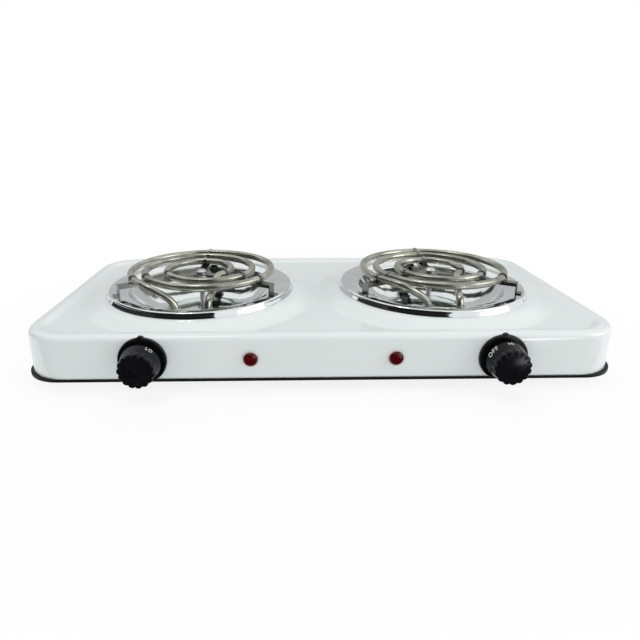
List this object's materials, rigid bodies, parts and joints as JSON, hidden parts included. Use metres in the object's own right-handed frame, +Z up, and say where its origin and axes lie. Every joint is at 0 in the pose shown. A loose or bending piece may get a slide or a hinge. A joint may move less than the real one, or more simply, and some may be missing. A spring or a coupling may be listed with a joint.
{
  "type": "double coil hot plate",
  "caption": "Free-standing electric hot plate: pressed white housing on a black base, coil burners over chrome drip pans, turning knobs and red lamps on the front.",
  "frame": {"origin": "under the middle of the whole box, knobs and cord gland included, on the surface it stands on", "axes": "+X to the right along the front, +Y to the back, +Z up; the knobs face -Y"},
  "size_m": [0.457, 0.2576, 0.0676],
  "materials": {
    "white_enamel": "gloss",
    "black_paint": "satin",
    "rubber": "matte",
    "zinc_steel": "satin",
    "chrome_plate": "mirror",
    "heater_sheath": "satin",
    "support_steel": "satin",
    "ceramic": "matte",
    "brass": "satin",
    "black_bezel": "gloss",
    "black_knob": "gloss",
    "red_lens": "gloss",
    "pale_plastic": "gloss",
    "sleeve": "matte"
  },
  "bodies": {
    "root": {"base_plate": "black_paint", "base_screws": "zinc_steel", "burner_bolt_left": "zinc_steel", "burner_bolt_right": "zinc_steel", "burner_bridge_left": "zinc_steel", "burner_bridge_right": "zinc_steel", "burner_nut_left": "zinc_steel", "burner_nut_right": "zinc_steel", "coil_beads_left": "ceramic", "coil_beads_right": "ceramic", "coil_clips_left": "support_steel", "coil_clips_right": "support_steel", "coil_pins_left": "brass", "coil_pins_right": "brass", "coil_support_left": "support_steel", "coil_support_right": "support_steel", "cord_gland": "black_bezel", "drip_pan_left": "chrome_plate", "drip_pan_right": "chrome_plate", "earth_screw": "zinc_steel", "foot_front_left": "rubber", "foot_front_right": "rubber", "foot_rear_left": "rubber", "foot_rear_right": "rubber", "foot_screws": "zinc_steel", "heating_coil_left": "heater_sheath", "heating_coil_right": "heater_sheath", "housing": "white_enamel", "knob_bezel_left": "black_bezel", "knob_bezel_right": "black_bezel", "lamp_body_left": "pale_plastic", "lamp_body_right": "pale_plastic", "lamp_clip_left": "zinc_steel", "lamp_clip_right": "zinc_steel", "lamp_lens_left": "red_lens", "lamp_lens_right": "red_lens", "live_wire_left": "sleeve", "live_wire_right": "sleeve", "load_wire_left": "sleeve", "load_wire_right": "sleeve", "neutral_wire_left": "sleeve", "neutral_wire_right": "sleeve", "terminal_block": "ceramic", "terminal_screws": "brass", "thermostat_blades_left": "brass", "thermostat_blades_right": "brass", "thermostat_frame_left": "zinc_steel", "thermostat_frame_right": "zinc_steel", "thermostat_nut_left": "brass", "thermostat_nut_right": "brass", "thermostat_stack_left": "ceramic", "thermostat_stack_right": "ceramic"},
    "left_knob": {"knob_left": "black_knob", "thermostat_spindle_left": "zinc_steel"},
    "right_knob": {"knob_right": "black_knob", "thermostat_spindle_right": "zinc_steel"}
  },
  "joints": [
    {"name": "left_knob_turn", "type": "hinge", "parent": "root", "child": "left_knob", "pos_m": [-0.1335, -0.10665, 0.0252], "axis": [0, 1, 0], "range_deg": [-184, 121]},
    {"name": "right_knob_turn", "type": "hinge", "parent": "root", "child": "right_knob", "pos_m": [0.1335, -0.10665, 0.0252], "axis": [0, 1, 0], "range_deg": [-305, 0]}
  ]
}
